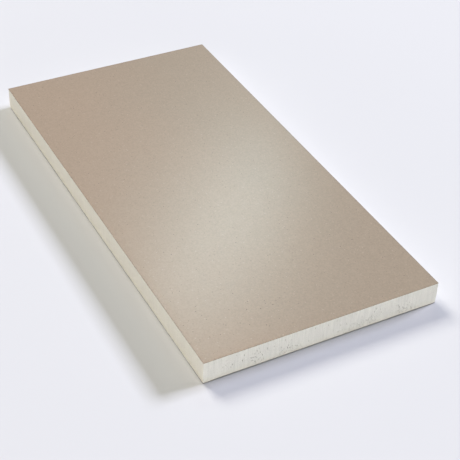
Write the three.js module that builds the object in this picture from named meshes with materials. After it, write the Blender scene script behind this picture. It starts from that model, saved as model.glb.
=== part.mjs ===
// Rigid foam insulation board: a slab of foamed polyisocyanurate between two thin facings.
//
// Units are millimetres and +Z is up. The board lies flat with its length along X and its width
// along Y, and the origin is the centre of its underside. The foam is foamed against both facings
// and then sawn to size, so all four edges are bare foam, cut flush with the facings.

import * as THREE from "three";

// Driving dimensions, in millimetres
const BOARD_LENGTH = 1200;
const BOARD_WIDTH = 600;
const BOARD_THICKNESS = 60;
const FACING_THICKNESS = 0.6;

// Colours and surface finish
const FOAM_COLOUR = new THREE.Color(0.85, 0.83, 0.74);
const FOAM_ROUGHNESS = 0.95;
const FACING_COLOUR = new THREE.Color(0.71, 0.64, 0.54);
const FACING_ROUGHNESS = 0.5;

// The layers, from the floor up
const CORE_BOTTOM = FACING_THICKNESS;
const CORE_TOP = BOARD_THICKNESS - FACING_THICKNESS;

// The rectangle that every layer is cut to, centred on the origin
function boardOutline() {
  const outline = new THREE.Shape();
  outline.moveTo(-BOARD_LENGTH / 2, -BOARD_WIDTH / 2);
  outline.lineTo(BOARD_LENGTH / 2, -BOARD_WIDTH / 2);
  outline.lineTo(BOARD_LENGTH / 2, BOARD_WIDTH / 2);
  outline.lineTo(-BOARD_LENGTH / 2, BOARD_WIDTH / 2);
  outline.closePath();
  return outline;
}

// One layer of the board, cut to the board's outline and standing between two heights
function layer(name, bottom, top, material) {
  const geometry = new THREE.ExtrudeGeometry(boardOutline(), { depth: top - bottom, bevelEnabled: false });
  geometry.translate(0, 0, bottom);
  const mesh = new THREE.Mesh(geometry, material);
  mesh.name = name;
  return mesh;
}

function foamMaterial() {
  return new THREE.MeshStandardMaterial({ color: FOAM_COLOUR, roughness: FOAM_ROUGHNESS, metalness: 0 });
}

function facingMaterial() {
  return new THREE.MeshStandardMaterial({ color: FACING_COLOUR, roughness: FACING_ROUGHNESS, metalness: 0 });
}

const board = new THREE.Group();
board.add(layer("bottom_facing", 0, CORE_BOTTOM, facingMaterial()));
board.add(layer("foam_core", CORE_BOTTOM, CORE_TOP, foamMaterial()));
board.add(layer("top_facing", CORE_TOP, BOARD_THICKNESS, facingMaterial()));

export default board;
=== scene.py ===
import math
import random
from collections import namedtuple
from functools import partial

import bmesh
import bpy
from mathutils import Matrix, Vector, noise
from mathutils.geometry import delaunay_2d_cdt


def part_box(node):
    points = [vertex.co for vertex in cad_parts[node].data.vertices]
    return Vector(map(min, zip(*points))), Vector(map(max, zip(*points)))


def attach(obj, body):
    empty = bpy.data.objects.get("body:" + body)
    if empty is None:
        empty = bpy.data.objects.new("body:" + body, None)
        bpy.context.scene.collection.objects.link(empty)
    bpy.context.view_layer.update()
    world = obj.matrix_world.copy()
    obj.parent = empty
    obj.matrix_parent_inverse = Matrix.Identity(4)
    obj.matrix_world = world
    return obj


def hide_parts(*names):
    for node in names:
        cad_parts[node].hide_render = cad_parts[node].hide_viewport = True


# The looks of a rigid foam insulation board: a sawn foam core between two coated facings.
#
# Blender works in metres and so does this script, with MM for the small sizes. The board lies
# flat with its length along X, its width along Y and its underside at height 0. A place on one
# of the four sawn edges is given by u, the distance along that edge, and v, the height above
# the underside of the foam. Going round the board once, the edges follow each other from the
# corner at +X -Y by way of +X +Y, and p is the distance walked from there.

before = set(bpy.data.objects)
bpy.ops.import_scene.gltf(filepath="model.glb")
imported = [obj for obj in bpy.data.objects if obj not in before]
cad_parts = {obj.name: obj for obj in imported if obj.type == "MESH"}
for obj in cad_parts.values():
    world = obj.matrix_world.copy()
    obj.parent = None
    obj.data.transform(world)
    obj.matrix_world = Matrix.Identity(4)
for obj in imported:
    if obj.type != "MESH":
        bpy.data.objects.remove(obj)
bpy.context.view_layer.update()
core_low, core_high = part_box("foam_core")

MM = 0.001
LENGTH = core_high.x - core_low.x
WIDTH = core_high.y - core_low.y
FOAM_HEIGHT = core_high.z - core_low.z

# How finely the surfaces are cut up
COLUMN_STEP = 3.0 * MM
ROW_STEP = 5.0 * MM
CORNER_STEP = 2.2 * MM
FACING_GRID_STEP = 20.0 * MM
FACING_RIM_STEP = 4.0 * MM
GRID_JITTER = 0.28
WELD_DISTANCE = 0.002 * MM
TRIANGULATION_TOLERANCE = 1e-5
SHARP_ANGLE = math.radians(32)

# The saw's marks: shallow upright streaks and a slow wander of the cut
STREAK_DEPTH = 0.16 * MM
STREAK_WIDTH = 5.0 * MM
STREAK_HEIGHT = 60.0 * MM
WANDER_DEPTH = 0.35 * MM
WANDER_LENGTH = 90.0 * MM
WANDER_HEIGHT = 70.0 * MM
RELIEF_FADE = 6.0 * MM

# Wear of the foam's arrises. A sound corner has kept its lower arris as far as its reach.
BOTTOM_CRUSH = 4.6 * MM
CRUSH_RAG_LENGTH = 6.0 * MM
CRUSH_SLOW_LENGTH = 110.0 * MM
BOTTOM_CRUSH_HEIGHT = 2.8 * MM
BOTTOM_ROWS = (0.0, 0.7 * MM, 1.4 * MM, 2.1 * MM, 2.8 * MM)
# Painted shade darkens the foam's foot along the floor: full at the bottom, fading out upwards
BOTTOM_PAINTED_SHADE = 1.0
FOOT_SHADE_FADE_START = 0.35
FOOT_SHADE_FADE_SPAN = 0.6
SOUND_CORNERS = ((0.0, 40.0 * MM), (WIDTH, 75.0 * MM))
SOUNDNESS = 0.85
SOUND_FADE = 0.7
TOP_WEAR = 0.25 * MM
TOP_WEAR_HEIGHT = 1.2 * MM
TOP_RAG_LENGTH = 7.0 * MM
CORNER_WEAR = 0.7 * MM
CORNER_REACH = 9.0 * MM
CORNER_RAG_LENGTH = 5.0 * MM
CORNER_RAG_OFFSET = 7.0
CHIP_DEPTH = 0.5 * MM
CHIP_HEIGHT = 27.0 * MM
CHIP_BLEND = 16.0 * MM
CHIPPED_CORNER = 1

# The facings
PINHOLE_COUNT = 1500
PINHOLE_RADIUS = (0.45 * MM, 1.25 * MM)
PINHOLE_SKEW = 2.2
PINHOLE_DEPTH = 0.34 * MM
PINHOLE_OVAL = (0.8, 1.2)
PINHOLE_SIDES = 6
PINHOLE_FLOOR_SHARE = 0.7
PINHOLE_MARGIN = 2.0 * MM
FACING_WAVE = 0.10 * MM
FACING_WAVE_LENGTH = 55.0 * MM
FACING_FRAY = 0.14 * MM
FRAY_LENGTH = 9.0 * MM
RIM_ROUNDING = 0.12 * MM
RIM_BAND = 2.6 * MM
RIM_SHADE = 0.3
FACING_MARGIN = 1.5 * RIM_BAND + BOTTOM_CRUSH

# Seeds of the noise, and how far apart they lie in it. The four edges count on from the streak,
# wander and slit seeds.
SEED_SPACING = 19.7
CRUSH_RAG_SEED = 3
CRUSH_SLOW_SEED = 4
CORNER_SEED = 5
TOP_WEAR_SEED = 6
STREAK_SEED = 7
WANDER_SEED = 11
SLIT_SEED = 21
TOP_FRAY_SEED = 31
BOTTOM_FRAY_SEED = 32
FACING_WAVE_SEED = 33

# Seeds of the random draws
FOAM_DRAWS = 41
TOP_FACING_DRAWS = 67
BOTTOM_FACING_DRAWS = 68

Pore = namedtuple("Pore", "u v half_width half_height lean depth sides")
PoreKind = namedtuple("PoreKind", "count half_width half_height depth sides slits")
Edge = namedtuple("Edge", "corner along inward length start material")


def smooth_step(value):
    """0 below 0, 1 above 1, and an S curve between."""
    clamped = max(0.0, min(1.0, value))
    return clamped * clamped * (3.0 - 2.0 * clamped)


def wander(u, v, u_size, v_size, seed):
    """Smooth noise from -1 to 1 whose features measure about u_size by v_size."""
    return noise.noise(Vector((u / u_size, v / v_size, SEED_SPACING * seed)))


def ragged(p, length, seed):
    """Smooth noise from 0 to 1 along a line, whose features are about length long."""
    return 0.5 + 0.5 * wander(p, 0.0, length, 1.0, seed)


# The four sawn edges

CORNERS = (
    Vector((core_high.x, core_low.y, 0.0)),
    Vector((core_high.x, core_high.y, 0.0)),
    Vector((core_low.x, core_high.y, 0.0)),
    Vector((core_low.x, core_low.y, 0.0)),
)
SHORT_EDGE_MATERIAL = 0
LONG_EDGE_MATERIAL = 1


def make_edges():
    """The four edges in their order round the board."""
    edges = []
    start = 0.0
    for index, corner in enumerate(CORNERS):
        span = CORNERS[(index + 1) % 4] - corner
        along = span.normalized()
        inward = Vector((-along.y, along.x, 0.0))
        material = SHORT_EDGE_MATERIAL if index % 2 == 0 else LONG_EDGE_MATERIAL
        edges.append(Edge(corner, along, inward, span.length, start, material))
        start += span.length
    return edges


EDGES = make_edges()
PERIMETER = 2.0 * (LENGTH + WIDTH)


def bottom_crush(p):
    """How far the foam's lower arris has crumbled back at p."""
    p = p % PERIMETER
    rag = ragged(p, CRUSH_RAG_LENGTH, CRUSH_RAG_SEED)
    slow = ragged(p, CRUSH_SLOW_LENGTH, CRUSH_SLOW_SEED)
    crush = BOTTOM_CRUSH * (0.5 + 0.25 * rag + 0.25 * slow)
    for place, reach in SOUND_CORNERS:
        distance = min(abs(p - place), PERIMETER - abs(p - place))
        crush *= 1.0 - SOUNDNESS * smooth_step((reach - distance) / (SOUND_FADE * reach))
    return crush


def corner_wear(index, v):
    """How far the upright arris at one corner has worn back at height v."""
    rag = 0.5 + 0.5 * wander(v, CORNER_RAG_OFFSET * index, CORNER_RAG_LENGTH, 1.0, CORNER_SEED)
    wear = CORNER_WEAR * (0.25 + rag)
    if index == CHIPPED_CORNER:
        below = smooth_step((CHIP_HEIGHT - v) / CHIP_BLEND)
        wear += CHIP_DEPTH * below * (0.85 + 0.25 * rag)
    return wear


def arris_loss(edge_index, u, v):
    """Foam lost near the arrises of an edge, measured inwards at (u, v)."""
    edge = EDGES[edge_index]
    loss = bottom_crush(edge.start + u) * (1.0 - smooth_step(v / BOTTOM_CRUSH_HEIGHT))
    from_top = FOAM_HEIGHT - v
    top_rag = ragged(edge.start + u, TOP_RAG_LENGTH, TOP_WEAR_SEED)
    loss += TOP_WEAR * top_rag * (1.0 - smooth_step(from_top / TOP_WEAR_HEIGHT))
    for corner_index, distance in ((edge_index, u), ((edge_index + 1) % 4, edge.length - u)):
        nearness = max(0.0, 1.0 - distance / CORNER_REACH)
        loss += corner_wear(corner_index, v) * nearness * nearness
    return loss


def sawn_relief(edge_index, u, v):
    """The saw's streaks and wander, measured inwards, fading out towards the corners."""
    edge = EDGES[edge_index]
    streak = 0.5 + 0.5 * wander(u, v, STREAK_WIDTH, STREAK_HEIGHT, STREAK_SEED + edge_index)
    slow = 0.5 + 0.5 * wander(u, v, WANDER_LENGTH, WANDER_HEIGHT, WANDER_SEED + edge_index)
    fade = smooth_step(min(u, edge.length - u) / RELIEF_FADE)
    return fade * (STREAK_DEPTH * streak + WANDER_DEPTH * slow)


def edge_point(edge_index, u, v, pit):
    """The place in the frame of (u, v) on an edge, sunk by pit below the sawn face."""
    edge = EDGES[edge_index]
    depth = arris_loss(edge_index, u, v) + sawn_relief(edge_index, u, v) + pit
    shift = 0.0
    for end, distance, side in ((0.0, u, 1.0), (edge.length, edge.length - u, -1.0)):
        nearness = max(0.0, 1.0 - distance / CORNER_REACH)
        shift += side * nearness * nearness * arris_loss(edge_index, end, v)
    place = edge.corner + (u + shift) * edge.along + depth * edge.inward
    place.z = core_low.z + v
    return place


# Pores and slits of the foam. A slit patch's place and reach are shares of the edge's length,
# and its height is a share of the foam's.

SLITS_ON_SHORT_EDGE = PoreKind(
    count=165, half_width=(0.32 * MM, 0.70 * MM), half_height=(1.9 * MM, 4.4 * MM),
    depth=(2.0 * MM, 4.2 * MM), sides=10, slits=True)
PORES_ON_SHORT_EDGE = PoreKind(
    count=520, half_width=(0.3 * MM, 0.55 * MM), half_height=(0.4 * MM, 1.0 * MM),
    depth=(0.5 * MM, 1.1 * MM), sides=6, slits=False)
SLITS_ON_LONG_EDGE = PoreKind(
    count=40, half_width=(0.35 * MM, 0.7 * MM), half_height=(0.9 * MM, 2.2 * MM),
    depth=(1.0 * MM, 2.2 * MM), sides=8, slits=True)
PORES_ON_LONG_EDGE = PoreKind(
    count=420, half_width=(0.3 * MM, 0.5 * MM), half_height=(0.3 * MM, 0.8 * MM),
    depth=(0.4 * MM, 0.9 * MM), sides=6, slits=False)
SlitPatch = namedtuple("SlitPatch", "place reach height")
SLIT_PATCHES = (
    SlitPatch(0.21, 0.022, 0.70), SlitPatch(0.35, 0.055, 0.40), SlitPatch(0.62, 0.045, 0.40),
    SlitPatch(0.71, 0.020, 0.80), SlitPatch(0.85, 0.030, 0.45),
)
SLIT_PATCH_FADE = 0.3
STRAY_SLIT_CHANCE = 0.015
STRAY_SLIT_SWING = 0.04
STRAY_SLIT_AREA = (60.0 * MM, 40.0 * MM)
PORE_CLEARANCE = 0.5 * MM
PORE_BORDER = 2.0 * MM
PORE_MARGIN = 0.7 * MM
PORE_RAG = (0.82, 1.0)
PORE_FLOOR_RAG = (0.75, 1.0)
PORE_FLOOR_SHARE = 0.72
PORE_MIDDLE = 1.1
DARK_PORE_DEPTH = 3.6 * MM
SLIT_LEAN = (math.radians(-3), math.radians(17))
BUCKET = 8.0 * MM


class Buckets:
    """Finds the pores near a place, by the square of a coarse grid that it lies in."""

    def __init__(self):
        self.squares = {}

    def add(self, pore):
        """Enters a pore under its square."""
        key = (int(pore.u // BUCKET), int(pore.v // BUCKET))
        self.squares.setdefault(key, []).append(pore)

    def near(self, u, v):
        """The pores in the square that (u, v) lies in and in the eight around it."""
        column = int(u // BUCKET)
        row = int(v // BUCKET)
        for i in (column - 1, column, column + 1):
            for j in (row - 1, row, row + 1):
                yield from self.squares.get((i, j), ())


def slit_chance(edge_index, u, v):
    """How likely a slit is at (u, v): they crowd in patches that reach up from below."""
    share = u / EDGES[edge_index].length
    if edge_index >= 2:
        share = 1.0 - share
    stray = smooth_step(wander(u, v, *STRAY_SLIT_AREA, SLIT_SEED + edge_index))
    chance = STRAY_SLIT_CHANCE + STRAY_SLIT_SWING * stray
    for patch in SLIT_PATCHES:
        across = (share - patch.place) / patch.reach
        up = v / FOAM_HEIGHT / patch.height
        chance += math.exp(-across * across) * (1.0 - smooth_step(up - SLIT_PATCH_FADE))
    return min(1.0, chance)


def pore_is_clear(pore, buckets):
    """Whether a pore keeps its clearance to the pores that are already there."""
    for other in buckets.near(pore.u, pore.v):
        across = pore.half_width + other.half_width + PORE_CLEARANCE
        up = pore.half_height + other.half_height + PORE_CLEARANCE
        if abs(pore.u - other.u) < across and abs(pore.v - other.v) < up:
            return False
    return True


def scatter_pores(rng, edge_index, kinds):
    """Random pores of each kind on an edge, which don't touch each other."""
    length = EDGES[edge_index].length
    buckets = Buckets()
    pores = []
    for kind in kinds:
        made = 0
        while made < kind.count:
            half_height = rng.uniform(*kind.half_height)
            border = PORE_BORDER + half_height
            u = rng.uniform(border, length - border)
            v = rng.uniform(border, FOAM_HEIGHT - border)
            lean = rng.uniform(*SLIT_LEAN)
            half_width = rng.uniform(*kind.half_width)
            depth = rng.uniform(*kind.depth)
            if kind.slits and rng.random() > slit_chance(edge_index, u, v):
                continue
            pore = Pore(u, v, half_width, half_height, lean, depth, kind.sides)
            if pore_is_clear(pore, buckets):
                buckets.add(pore)
                pores.append(pore)
                made += 1
    return pores, buckets


def pore_ring(pore, rng, share):
    """The points of a pore's outline, shrunk to a share of it, with an uneven edge."""
    ring = []
    for side in range(pore.sides):
        angle = 2.0 * math.pi * side / pore.sides
        uneven = share * rng.uniform(*PORE_RAG)
        across = pore.half_width * uneven * math.cos(angle)
        up = pore.half_height * uneven * math.sin(angle)
        u = pore.u + across * math.cos(pore.lean) - up * math.sin(pore.lean)
        v = pore.v + across * math.sin(pore.lean) + up * math.cos(pore.lean)
        ring.append((u, v))
    return ring


def covered(u, v, buckets, margin):
    """Whether (u, v) lies in a pore or within a margin of it."""
    for pore in buckets.near(u, v):
        across = (u - pore.u) / (pore.half_width + margin)
        up = (v - pore.v) / (pore.half_height + margin)
        if across * across + up * up < 1.0:
            return True
    return False


class Sheet:
    """Flat points with a depth and a painted shade each, and the outlines that their triangles
    have to keep.
    """

    def __init__(self):
        self.points = []
        self.pits = []
        self.painted_shades = []
        self.lines = []

    def add(self, u, v, pit=0.0, painted_shade=0.0):
        """Adds a point and gives its number."""
        self.points.append(Vector((u / MM, v / MM)))
        self.pits.append(pit)
        self.painted_shades.append(painted_shade)
        return len(self.points) - 1

    def add_loop(self, numbers):
        """Keeps the closed line through these points."""
        for here, there in zip(numbers, numbers[1:] + numbers[:1]):
            self.lines.append((here, there))

    def add_pore(self, pore, rng, floor_share, shade):
        """Adds a pore: its rim, a steep wall and a floor that is deepest in the middle, darkened
        by painted shade.
        """
        rim = [self.add(u, v) for u, v in pore_ring(pore, rng, 1.0)]
        inner = pore_ring(pore, rng, floor_share)
        floor = []
        for u, v in inner:
            floor.append(self.add(u, v, pore.depth * rng.uniform(*PORE_FLOOR_RAG), shade))
        self.add(pore.u, pore.v, pore.depth * PORE_MIDDLE, shade)
        self.add_loop(rim)
        self.add_loop(floor)

    def triangles(self, outline=None):
        """The triangles between the points, inside the outline if there is one."""
        faces = [outline] if outline else []
        inside_only = 1 if outline else 0
        made = delaunay_2d_cdt(
            self.points, self.lines, faces, inside_only, TRIANGULATION_TOLERANCE)
        triangles, origins = made[2], made[3]
        sources = [origin[0] for origin in origins]
        return [tuple(sources[i] for i in triangle) for triangle in triangles]


class Shell:
    """Collects the surfaces of one closed piece and makes its mesh."""

    def __init__(self):
        self.places = []
        self.painted_shades = []
        self.faces = []
        self.materials = []

    def add_sheet(self, sheet, place, material, outline=None, flip=False):
        """Adds a sheet, whose function place gives a point's place in the frame."""
        first = len(self.places)
        for point, pit, painted_shade in zip(sheet.points, sheet.pits, sheet.painted_shades):
            self.places.append(place(point.x * MM, point.y * MM, pit))
            self.painted_shades.append(painted_shade)
        for triangle in sheet.triangles(outline):
            numbers = [first + i for i in triangle]
            self.faces.append(numbers[::-1] if flip else numbers)
            self.materials.append(material)

    def add_wall(self, lower, upper, material, flip=False):
        """Adds the band of quads between two closed rings with as many points each."""
        first = len(self.places)
        count = len(lower)
        self.places.extend(lower)
        self.places.extend(upper)
        self.painted_shades.extend([0.0] * (2 * count))
        for i in range(count):
            j = (i + 1) % count
            quad = [first + i, first + j, first + count + j, first + count + i]
            self.faces.append(quad[::-1] if flip else quad)
            self.materials.append(material)

    def make_object(self, name, materials):
        """The piece as one mesh object, welded where its surfaces meet."""
        mesh = bpy.data.meshes.new(name)
        mesh.from_pydata(self.places, [], self.faces)
        mesh.polygons.foreach_set("material_index", self.materials)
        # Each point's painted shade, which the materials mix in
        painted_shade = mesh.attributes.new("painted_shade", "FLOAT", "POINT")
        painted_shade.data.foreach_set("value", self.painted_shades)
        for material in materials:
            mesh.materials.append(material)
        welded = bmesh.new()
        welded.from_mesh(mesh)
        bmesh.ops.remove_doubles(welded, verts=welded.verts, dist=WELD_DISTANCE)
        welded.to_mesh(mesh)
        welded.free()
        mesh.shade_smooth()
        mesh.set_sharp_from_angle(angle=SHARP_ANGLE)
        piece = bpy.data.objects.new(name, mesh)
        bpy.context.scene.collection.objects.link(piece)
        return piece


def painted_foot_shade(v):
    """Painted shade on the lower arris at height v, on the scale of the pores' painted shade."""
    from_foot = v / BOTTOM_CRUSH_HEIGHT
    return BOTTOM_PAINTED_SHADE * (1.0 - smooth_step((from_foot - FOOT_SHADE_FADE_START) / FOOT_SHADE_FADE_SPAN))


def even_steps(length, step):
    """Places from 0 to length, both included, about step apart."""
    count = max(1, round(length / step))
    return [length * i / count for i in range(count + 1)]


def edge_sheet(rng, edge_index, kinds):
    """The sawn face of one edge, with its pores."""
    length = EDGES[edge_index].length
    pores, buckets = scatter_pores(rng, edge_index, kinds)
    sheet = Sheet()
    columns = even_steps(length, COLUMN_STEP)
    # The lowest rows and the upright arrises carry the foot's painted shade
    for u in columns:
        sheet.add(u, 0.0, painted_shade=painted_foot_shade(0.0))
        sheet.add(u, FOAM_HEIGHT)
    for v in corner_heights():
        sheet.add(0.0, v, painted_shade=painted_foot_shade(v))
        sheet.add(length, v, painted_shade=painted_foot_shade(v))
    for v in BOTTOM_ROWS[1:]:
        for u in columns[1:-1]:
            sheet.add(u, v, painted_shade=painted_foot_shade(v))
    lowest = BOTTOM_ROWS[-1]
    for v in even_steps(FOAM_HEIGHT - lowest, ROW_STEP)[1:-1]:
        for u in columns[1:-1]:
            moved_u = u + rng.uniform(-GRID_JITTER, GRID_JITTER) * COLUMN_STEP
            moved_v = lowest + v + rng.uniform(-GRID_JITTER, GRID_JITTER) * ROW_STEP
            if not covered(moved_u, moved_v, buckets, PORE_MARGIN):
                sheet.add(moved_u, moved_v)
    for pore in pores:
        # Deeper pores get more painted shade on their floors
        shade = min(1.0, pore.depth / DARK_PORE_DEPTH)
        sheet.add_pore(pore, rng, PORE_FLOOR_SHARE, shade)
    return sheet


def corner_heights():
    """The heights of the points down an upright arris, without its two ends."""
    heights = even_steps(FOAM_HEIGHT - BOTTOM_ROWS[-1], CORNER_STEP)
    return [*BOTTOM_ROWS[1:-1], *(BOTTOM_ROWS[-1] + v for v in heights[:-1])]


def foam_rim(v):
    """The foam's outline at its lowest or highest level, counter-clockwise."""
    rim = []
    for index, edge in enumerate(EDGES):
        for u in even_steps(edge.length, COLUMN_STEP)[:-1]:
            rim.append(edge_point(index, u, v, 0.0))
    return rim


def add_cap(shell, rim, material, flip, shade=0.0):
    """Closes a ring of points that all lie at one height."""
    sheet = Sheet()
    outline = [sheet.add(place.x, place.y, painted_shade=shade) for place in rim]
    height = rim[0].z
    shell.add_sheet(sheet, lambda x, y, pit: Vector((x, y, height)), material, outline, flip)


def make_foam_core(materials):
    """The sawn foam slab, with streaks, pores, slits and crumbled arrises."""
    rng = random.Random(FOAM_DRAWS)
    short_kinds = (SLITS_ON_SHORT_EDGE, PORES_ON_SHORT_EDGE)
    long_kinds = (SLITS_ON_LONG_EDGE, PORES_ON_LONG_EDGE)
    shell = Shell()
    for index, edge in enumerate(EDGES):
        kinds = short_kinds if edge.material == SHORT_EDGE_MATERIAL else long_kinds
        sheet = edge_sheet(rng, index, kinds)
        shell.add_sheet(sheet, partial(edge_point, index), edge.material)
    # The underside takes the foot's full painted shade
    add_cap(shell, foam_rim(0.0), SHORT_EDGE_MATERIAL, flip=True, shade=BOTTOM_PAINTED_SHADE)
    add_cap(shell, foam_rim(FOAM_HEIGHT), SHORT_EDGE_MATERIAL, flip=False)
    return shell.make_object("foam_slab", materials)


# The facings

def fray(p, seed):
    """How far a facing's cut edge is worn back at p."""
    return FACING_FRAY * ragged(p, FRAY_LENGTH, seed)


def top_outline():
    """The top facing reaches the board's edges, but for its fray; counter-clockwise."""
    outline = []
    for edge in EDGES:
        for u in even_steps(edge.length, FACING_RIM_STEP)[:-1]:
            depth = fray(edge.start + u, TOP_FRAY_SEED)
            at_corner = depth if u == 0.0 else 0.0
            outline.append(edge.corner + (u + at_corner) * edge.along + depth * edge.inward)
    return outline


def bottom_outline():
    """The bottom facing ends where the foam's crumbled lower arris begins."""
    outline = []
    for index, edge in enumerate(EDGES):
        for u in even_steps(edge.length, COLUMN_STEP)[:-1]:
            depth = fray(edge.start + u, BOTTOM_FRAY_SEED)
            at_corner = depth if u == 0.0 else 0.0
            foot = edge_point(index, u, 0.0, depth)
            outline.append(Vector((foot.x, foot.y, 0.0)) + at_corner * edge.along)
    return outline


def scatter_pinholes(rng):
    """Random round pinholes on a facing, most of them small."""
    smallest, largest = PINHOLE_RADIUS
    buckets = Buckets()
    pinholes = []
    while len(pinholes) < PINHOLE_COUNT:
        radius = smallest + (largest - smallest) * rng.random() ** PINHOLE_SKEW
        x = rng.uniform(core_low.x + FACING_MARGIN, core_high.x - FACING_MARGIN)
        y = rng.uniform(core_low.y + FACING_MARGIN, core_high.y - FACING_MARGIN)
        long_radius = radius * rng.uniform(*PINHOLE_OVAL)
        pinhole = Pore(x, y, radius, long_radius, 0.0, PINHOLE_DEPTH, PINHOLE_SIDES)
        if pore_is_clear(pinhole, buckets):
            buckets.add(pinhole)
            pinholes.append(pinhole)
    return pinholes, buckets


def facing_sheet(rng, outline):
    """The outer face of a facing with its pinholes, and its rim."""
    sheet = Sheet()
    # The cut rim is darkened a little, towards the pinholes' dark colour
    rim = [sheet.add(place.x, place.y, RIM_ROUNDING, RIM_SHADE) for place in outline]
    inner_band = shrink(outline, RIM_BAND)
    for place in inner_band[::2]:
        sheet.add(place.x, place.y)
    pinholes, buckets = scatter_pinholes(rng)
    for x in even_steps(LENGTH - 2.0 * FACING_MARGIN, FACING_GRID_STEP):
        for y in even_steps(WIDTH - 2.0 * FACING_MARGIN, FACING_GRID_STEP):
            place_x = core_low.x + FACING_MARGIN + x
            place_y = core_low.y + FACING_MARGIN + y
            if not covered(place_x, place_y, buckets, PINHOLE_MARGIN):
                sheet.add(place_x, place_y)
    for pinhole in pinholes:
        # Pinhole floors take the full painted shade
        sheet.add_pore(pinhole, rng, PINHOLE_FLOOR_SHARE, 1.0)
    return sheet, rim


def make_facing(name, node, outer_is_top, outline, material):
    """A coated facing: a thin sheet with a faint wave, pinholes and a cut edge."""
    low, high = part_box(node)
    rng = random.Random(TOP_FACING_DRAWS if outer_is_top else BOTTOM_FACING_DRAWS)
    outer_z, inner_z = (high.z, low.z) if outer_is_top else (low.z, high.z)
    down = -1.0 if outer_is_top else 1.0
    sheet, rim = facing_sheet(rng, outline)

    def outer_place(x, y, pit):
        swell = wander(x, y, FACING_WAVE_LENGTH, FACING_WAVE_LENGTH, FACING_WAVE_SEED)
        wave = FACING_WAVE * (0.5 + 0.5 * swell)
        return Vector((x, y, outer_z + down * (wave + pit)))

    shell = Shell()
    shell.add_sheet(sheet, outer_place, 0, rim, flip=not outer_is_top)
    outer_ring = [outer_place(place.x, place.y, RIM_ROUNDING) for place in outline]
    inner_ring = [Vector((place.x, place.y, inner_z)) for place in outline]
    if outer_is_top:
        shell.add_wall(inner_ring, outer_ring, 0)
    else:
        shell.add_wall(outer_ring, inner_ring, 0)
    add_cap(shell, inner_ring, 0, flip=outer_is_top)
    piece = shell.make_object(name, [material])
    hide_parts(node)
    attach(piece, "root")
    return piece


def shrink(outline, distance):
    """The outline moved towards the board's middle by a distance in X and in Y."""
    shrunk = []
    for place in outline:
        x_room = max(0.0, abs(place.x) - (LENGTH / 2 - distance))
        y_room = max(0.0, abs(place.y) - (WIDTH / 2 - distance))
        x = place.x - math.copysign(x_room, place.x)
        y = place.y - math.copysign(y_room, place.y)
        shrunk.append(Vector((x, y, 0.0)))
    return shrunk


# Materials

FOAM_SAWN = (0.87, 0.85, 0.785)
FOAM_TRIMMED = (0.84, 0.815, 0.685)
# The colour painted as shade in the foam's pores and along its foot
FOAM_SHADE = (0.17, 0.16, 0.135)
FACING_TAN = (0.322, 0.258, 0.190)
FACING_RED = (0.350, 0.268, 0.194)
FACING_GREY = (0.308, 0.255, 0.190)
FACING_SPECK = (0.46, 0.40, 0.32)
# The colour painted as shade in the facings' pinholes; their cut rims are mixed a little towards
# it too
PINHOLE_PAINTED_SHADE = (0.10, 0.076, 0.057)
YELLOWING = (0.99, 0.96, 0.87)
SAWN_DULLNESS = 0.82
TRIMMED_DULLNESS = 0.90

# Noise of the materials. Its scale is in features to the metre.
Grain = namedtuple("Grain", "scale detail roughness")

FOAM_STREAKS = Grain(520.0, 3.0, 0.6)
FOAM_PATCHES = Grain(28.0, 2.0, 0.5)
FOAM_GRAINS = Grain(420.0, 4.0, 0.65)
FOAM_BANDS = Grain(170.0, 2.0, 0.5)
FOAM_CELL_SCALE = 1100.0
FOAM_STREAK_STRETCH = 0.05
FOAM_BAND_STRETCH = 0.06
FOAM_TONE_SHARES = (0.4, 0.25, 0.1, 0.25)
FOAM_TONE_RANGE = (0.36, 0.64)
FOAM_ROUGHNESS = (0.86, 0.98)
FOAM_SPECULAR = 0.3
FOAM_CELL_RELIEF = 0.25 * MM
FOAM_STREAK_RELIEF = 0.3 * MM
YELLOW_HEIGHTS = (10.0 * MM, 26.0 * MM)
YELLOW_SHARE = 0.4
YELLOW_SWAY = 12.0 * MM
PAINTED_SHADE_RANGE = (0.1, 0.9)

FACING_TONE = Grain(3.0, 2.0, 0.5)
FACING_MOTTLE = Grain(60.0, 4.0, 0.6)
FACING_FIBRES = Grain(700.0, 2.0, 0.6)
FACING_GRAIN = Grain(240.0, 3.0, 0.7)
FACING_SPECK_SCALE = 75.0
FACING_SPECK_SIZE = (0.06, 0.12)
FACING_SPECK_SHARE = 0.6
FIBRE_STRETCH = 0.12
TONE_RANGE = (0.02, 0.40)
MOTTLE_TINTS = (0.93, 1.05)
MOTTLE_SHARE = 0.35
GRAIN_TINTS = (0.84, 1.16)
DUSKY_GRAIN = (0.30, 0.52)
PALE_GRAIN = (0.48, 0.68)
GRAIN_SHARE = 0.45
FACING_ROUGHNESS = (0.23, 0.27)
FACING_SPECULAR = 0.35
FIBRE_RELIEF = 0.06 * MM
MOTTLE_RELIEF = 0.1 * MM
MIDDLE_RANGE = (0.3, 0.7)


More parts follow.
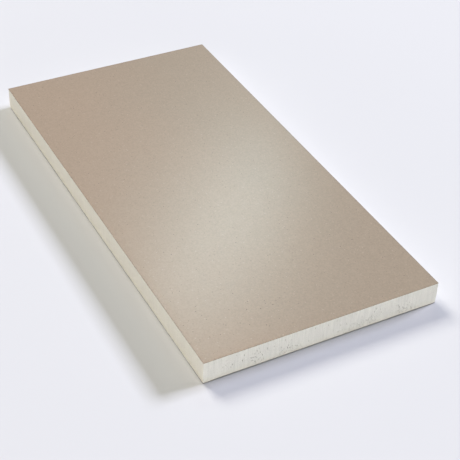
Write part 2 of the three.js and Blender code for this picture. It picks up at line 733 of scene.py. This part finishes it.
class Nodes:
    """A material's node tree, with one short method for each kind of node."""

    def __init__(self, name):
        self.material = bpy.data.materials.new(name)
        self.material.use_nodes = True
        self.tree = self.material.node_tree
        self.shader = self.tree.nodes["Principled BSDF"]
        self.place = self.tree.nodes.new("ShaderNodeTexCoord").outputs["Object"]

    def add(self, kind, sources, **settings):
        """Adds a node and fills its inputs, each with a value or another node's output."""
        node = self.tree.nodes.new(kind)
        for key, value in settings.items():
            setattr(node, key, value)
        for key, source in sources.items():
            if isinstance(source, bpy.types.NodeSocket):
                self.tree.links.new(source, node.inputs[key])
            else:
                node.inputs[key].default_value = source
        return node

    def scaled(self, x, y, z):
        """The object's own coordinates, stretched along each axis."""
        return self.add("ShaderNodeVectorMath", {0: self.place, 1: (x, y, z)},
                        operation="MULTIPLY").outputs[0]

    def height(self):
        """The height above the underside."""
        return self.add("ShaderNodeSeparateXYZ", {0: self.place}).outputs["Z"]

    def across(self):
        """The distance from the board's centre line, towards +Y."""
        return self.add("ShaderNodeSeparateXYZ", {0: self.place}).outputs["Y"]

    def noise(self, place, grain):
        """Noise from 0 to 1 of the given grain."""
        sources = {"Vector": place, "Scale": grain.scale, "Detail": grain.detail,
                   "Roughness": grain.roughness}
        return self.add("ShaderNodeTexNoise", sources).outputs["Fac"]

    def cells(self, place, scale):
        """The distance to the nearest of scattered cell middles."""
        cells = self.add("ShaderNodeTexVoronoi", {"Vector": place, "Scale": scale})
        return cells.outputs["Distance"]

    def ranged(self, value, old_range, new_range):
        """A value moved from one range to another and kept inside it."""
        sources = {"Value": value, "From Min": old_range[0], "From Max": old_range[1],
                   "To Min": new_range[0], "To Max": new_range[1]}
        return self.add("ShaderNodeMapRange", sources).outputs["Result"]

    def sum(self, first, second):
        """Two values added."""
        return self.add("ShaderNodeMath", {0: first, 1: second}, operation="ADD").outputs[0]

    def product(self, first, second):
        """Two values multiplied."""
        return self.add("ShaderNodeMath", {0: first, 1: second}, operation="MULTIPLY").outputs[0]

    def mixed(self, share, first, second):
        """Two colours blended: the first where share is 0, the second where it is 1."""
        node = self.add("ShaderNodeMix", {"Factor": share}, data_type="RGBA")
        for name, source in (("A", first), ("B", second)):
            socket = [s for s in node.inputs if s.name == name and s.type == "RGBA"][0]
            if isinstance(source, bpy.types.NodeSocket):
                self.tree.links.new(source, socket)
            else:
                socket.default_value = (*source, 1.0)
        return [s for s in node.outputs if s.type == "RGBA"][0]

    def attribute(self, name):
        """A number that the mesh holds at each point."""
        return self.add("ShaderNodeAttribute", {}, attribute_name=name).outputs["Fac"]

    def bump(self, height, distance, below=None):
        """The normal of a surface raised by height times distance, on top of another bump."""
        sources = {"Height": height, "Distance": distance, "Strength": 1.0}
        if below is not None:
            sources["Normal"] = below
        return self.add("ShaderNodeBump", sources).outputs["Normal"]

    def finish(self, colour, roughness, normal):
        """Connects the shader."""
        self.tree.links.new(colour, self.shader.inputs["Base Color"])
        self.tree.links.new(roughness, self.shader.inputs["Roughness"])
        self.tree.links.new(normal, self.shader.inputs["Normal"])
        return self.material


def tinted(colour, tint):
    """A colour made darker or paler."""
    return tuple(tint * c for c in colour)


def foam_material(name, colour, shade, dullness):
    """Sawn rigid foam: matt cells, upright saw streaks, and painted shade in its pores and along
    its foot.
    """
    nodes = Nodes(name)
    streaks = nodes.noise(nodes.scaled(1.0, 1.0, FOAM_STREAK_STRETCH), FOAM_STREAKS)
    patches = nodes.noise(nodes.place, FOAM_PATCHES)
    cells = nodes.cells(nodes.place, FOAM_CELL_SCALE)
    grains = nodes.noise(nodes.place, FOAM_GRAINS)
    bands = nodes.noise(nodes.scaled(1.0, 1.0, FOAM_BAND_STRETCH), FOAM_BANDS)
    tone = 0.0
    for part, share in zip((streaks, grains, patches, bands), FOAM_TONE_SHARES):
        tone = nodes.sum(tone, nodes.product(part, share))
    whiteness = nodes.ranged(tone, FOAM_TONE_RANGE, (0.0, 1.0))
    base = nodes.mixed(whiteness, tinted(colour, dullness), colour)
    yellow = tuple(c * tint for c, tint in zip(colour, YELLOWING))
    level = nodes.sum(nodes.height(), nodes.product(patches, YELLOW_SWAY))
    base = nodes.mixed(nodes.ranged(level, YELLOW_HEIGHTS, (YELLOW_SHARE, 0.0)), base, yellow)
    # Painted shade: pore floors and the foot are mixed towards the shade colour
    painted_shade = nodes.ranged(nodes.attribute("painted_shade"), PAINTED_SHADE_RANGE, (0.0, 1.0))
    base = nodes.mixed(painted_shade, base, shade)
    roughness = nodes.ranged(grains, MIDDLE_RANGE, FOAM_ROUGHNESS)
    normal = nodes.bump(cells, FOAM_CELL_RELIEF)
    normal = nodes.bump(streaks, FOAM_STREAK_RELIEF, normal)
    nodes.shader.inputs["Specular IOR Level"].default_value = FOAM_SPECULAR
    return nodes.finish(base, roughness, normal)


def facing_material(name):
    """Coated fleece: a satin tan skin, faintly mottled, with fibres, painted shade in its pinholes
    and a darker cut rim.
    """
    nodes = Nodes(name)
    broad = nodes.product(nodes.noise(nodes.place, FACING_TONE), 0.5)
    broad = nodes.sum(broad, nodes.across())
    mottle = nodes.noise(nodes.place, FACING_MOTTLE)
    fibres_x = nodes.noise(nodes.scaled(FIBRE_STRETCH, 1.0, 1.0), FACING_FIBRES)
    fibres_y = nodes.noise(nodes.scaled(1.0, FIBRE_STRETCH, 1.0), FACING_FIBRES)
    fibres = nodes.product(nodes.sum(fibres_x, fibres_y), 0.5)
    base = nodes.mixed(nodes.ranged(broad, TONE_RANGE, (0.0, 1.0)), FACING_RED, FACING_GREY)
    dark, light = (tinted(FACING_TAN, tint) for tint in MOTTLE_TINTS)
    speckle = nodes.mixed(nodes.ranged(mottle, MIDDLE_RANGE, (0.0, 1.0)), dark, light)
    base = nodes.mixed(MOTTLE_SHARE, base, speckle)
    grain = nodes.noise(nodes.place, FACING_GRAIN)
    dusky, pale = (tinted(FACING_TAN, tint) for tint in GRAIN_TINTS)
    base = nodes.mixed(nodes.ranged(grain, DUSKY_GRAIN, (GRAIN_SHARE, 0.0)), base, dusky)
    base = nodes.mixed(nodes.ranged(grain, PALE_GRAIN, (0.0, GRAIN_SHARE)), base, pale)
    specks = nodes.cells(nodes.place, FACING_SPECK_SCALE)
    speck_share = nodes.ranged(specks, FACING_SPECK_SIZE, (FACING_SPECK_SHARE, 0.0))
    base = nodes.mixed(speck_share, base, FACING_SPECK)
    # Painted shade in the pinholes, and a little of the same dark colour at the cut rim
    base = nodes.mixed(nodes.attribute("painted_shade"), base, PINHOLE_PAINTED_SHADE)
    roughness = nodes.ranged(mottle, MIDDLE_RANGE, FACING_ROUGHNESS)
    normal = nodes.bump(fibres, FIBRE_RELIEF)
    normal = nodes.bump(mottle, MOTTLE_RELIEF, normal)
    nodes.shader.inputs["Specular IOR Level"].default_value = FACING_SPECULAR
    return nodes.finish(base, roughness, normal)


# Stage, lights and camera

FLOOR_SIZE = 60.0
FLOOR_COLOUR = (0.625, 0.625, 0.625)
FLOOR_ROUGHNESS = 0.9
WORLD_COLOUR = (0.86, 0.87, 0.90)
WORLD_STRENGTH = 0.085

# The lights' angles are in degrees, their distances and sizes in metres and their powers in
# watts. Azimuth 0 is -Y and 90 is +X. The tilt turns a light about its own axis.
AreaLight = namedtuple("AreaLight", "name azimuth elevation tilt distance size colour power")
AREA_LIGHTS = (
    AreaLight("warm_key", 280.0, 42.5, 0.0, 40.0, (15.2, 15.2), (1.0, 0.965, 0.89), 14300.0),
    AreaLight("cool_key", 181.0, 28.5, 0.0, 40.0, (14.0, 7.2), (0.79, 0.815, 1.0), 25800.0),
    AreaLight("sheen_strip", 241.4, 40.0, 52.6, 12.0, (2.35, 0.12), (0.82, 1.0, 1.0), 104.0),
    AreaLight("right_fill", 76.0, 5.0, 0.0, 6.0, (3.0, 0.9), (1.0, 1.0, 0.92), 126.0),
    AreaLight("left_fill", 5.0, 5.0, 0.0, 6.0, (3.0, 0.9), (0.89, 0.83, 1.0), 78.0),
    AreaLight("high_fill", 330.0, 35.0, 0.0, 6.0, (3.0, 2.4), (1.0, 0.95, 0.65), 20.0),
)

# Lights that the satin facings don't mirror: from the opposite side they would turn them white
UNMIRRORED_LIGHTS = ("warm_key", "cool_key")

CAMERA_TARGET = Vector((0.18955, -0.02052, 0.03))
CAMERA_AZIMUTH = math.radians(60.79)
CAMERA_ELEVATION = math.radians(38.07)
CAMERA_DISTANCE = 2.944
CAMERA_ROLL = math.radians(2.416)
CAMERA_LENS = 95.13
SENSOR_WIDTH = 36.0


def direction(azimuth, elevation):
    """The unit vector towards a place at that azimuth and elevation; azimuth 0 is -Y, 90 is +X."""
    flat = math.cos(elevation)
    return Vector((math.sin(azimuth) * flat, -math.cos(azimuth) * flat, math.sin(elevation)))


def make_floor():
    """A plain pale floor."""
    half = FLOOR_SIZE / 2
    mesh = bpy.data.meshes.new("floor")
    corners = [(-half, -half, 0.0), (half, -half, 0.0), (half, half, 0.0), (-half, half, 0.0)]
    mesh.from_pydata(corners, [], [(0, 1, 2, 3)])
    material = bpy.data.materials.new("pale_floor")
    material.use_nodes = True
    shader = material.node_tree.nodes["Principled BSDF"]
    shader.inputs["Base Color"].default_value = (*FLOOR_COLOUR, 1.0)
    shader.inputs["Roughness"].default_value = FLOOR_ROUGHNESS
    mesh.materials.append(material)
    floor = bpy.data.objects.new("floor", mesh)
    bpy.context.scene.collection.objects.link(floor)


def make_world():
    """Soft light from all round."""
    world = bpy.data.worlds.new("soft_room")
    world.use_nodes = True
    background = world.node_tree.nodes["Background"]
    background.inputs["Color"].default_value = (*WORLD_COLOUR, 1.0)
    background.inputs["Strength"].default_value = WORLD_STRENGTH
    bpy.context.scene.world = world


def make_light(light):
    """A rectangular soft light that faces the board."""
    data = bpy.data.lights.new(light.name, "AREA")
    data.shape = "RECTANGLE"
    data.size, data.size_y = light.size
    data.color = light.colour
    data.energy = light.power
    lamp = bpy.data.objects.new(light.name, data)
    way = direction(math.radians(light.azimuth), math.radians(light.elevation))
    lamp.location = light.distance * way
    tilt = Matrix.Rotation(math.radians(light.tilt), 3, "Z")
    lamp.rotation_euler = (way.to_track_quat("Z", "Y").to_matrix() @ tilt).to_euler()
    lamp.visible_camera = False
    lamp.visible_glossy = light.name not in UNMIRRORED_LIGHTS
    bpy.context.scene.collection.objects.link(lamp)


def make_camera():
    """The camera at the photograph's place."""
    data = bpy.data.cameras.new("camera")
    data.lens = CAMERA_LENS
    data.sensor_width = SENSOR_WIDTH
    camera = bpy.data.objects.new("camera", data)
    back = direction(CAMERA_AZIMUTH, CAMERA_ELEVATION)
    turn = back.to_track_quat("Z", "Y").to_matrix()
    roll = Matrix.Rotation(CAMERA_ROLL, 3, "Z")
    camera.rotation_euler = (turn @ roll).to_euler()
    camera.location = CAMERA_TARGET + CAMERA_DISTANCE * back
    bpy.context.scene.collection.objects.link(camera)
    bpy.context.scene.camera = camera


sawn_foam = foam_material("sawn_foam", FOAM_SAWN, FOAM_SHADE, SAWN_DULLNESS)
trimmed_foam = foam_material("trimmed_foam", FOAM_TRIMMED, FOAM_SHADE, TRIMMED_DULLNESS)
coated_fleece = facing_material("coated_fleece")

core = make_foam_core([sawn_foam, trimmed_foam])
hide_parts("foam_core")
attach(core, "root")
make_facing("top_fleece", "top_facing", True, top_outline(), coated_fleece)
make_facing("bottom_fleece", "bottom_facing", False, bottom_outline(), coated_fleece)

make_floor()
make_world()
for area_light in AREA_LIGHTS:
    make_light(area_light)
make_camera()
bpy.context.scene.view_settings.view_transform = "Standard"
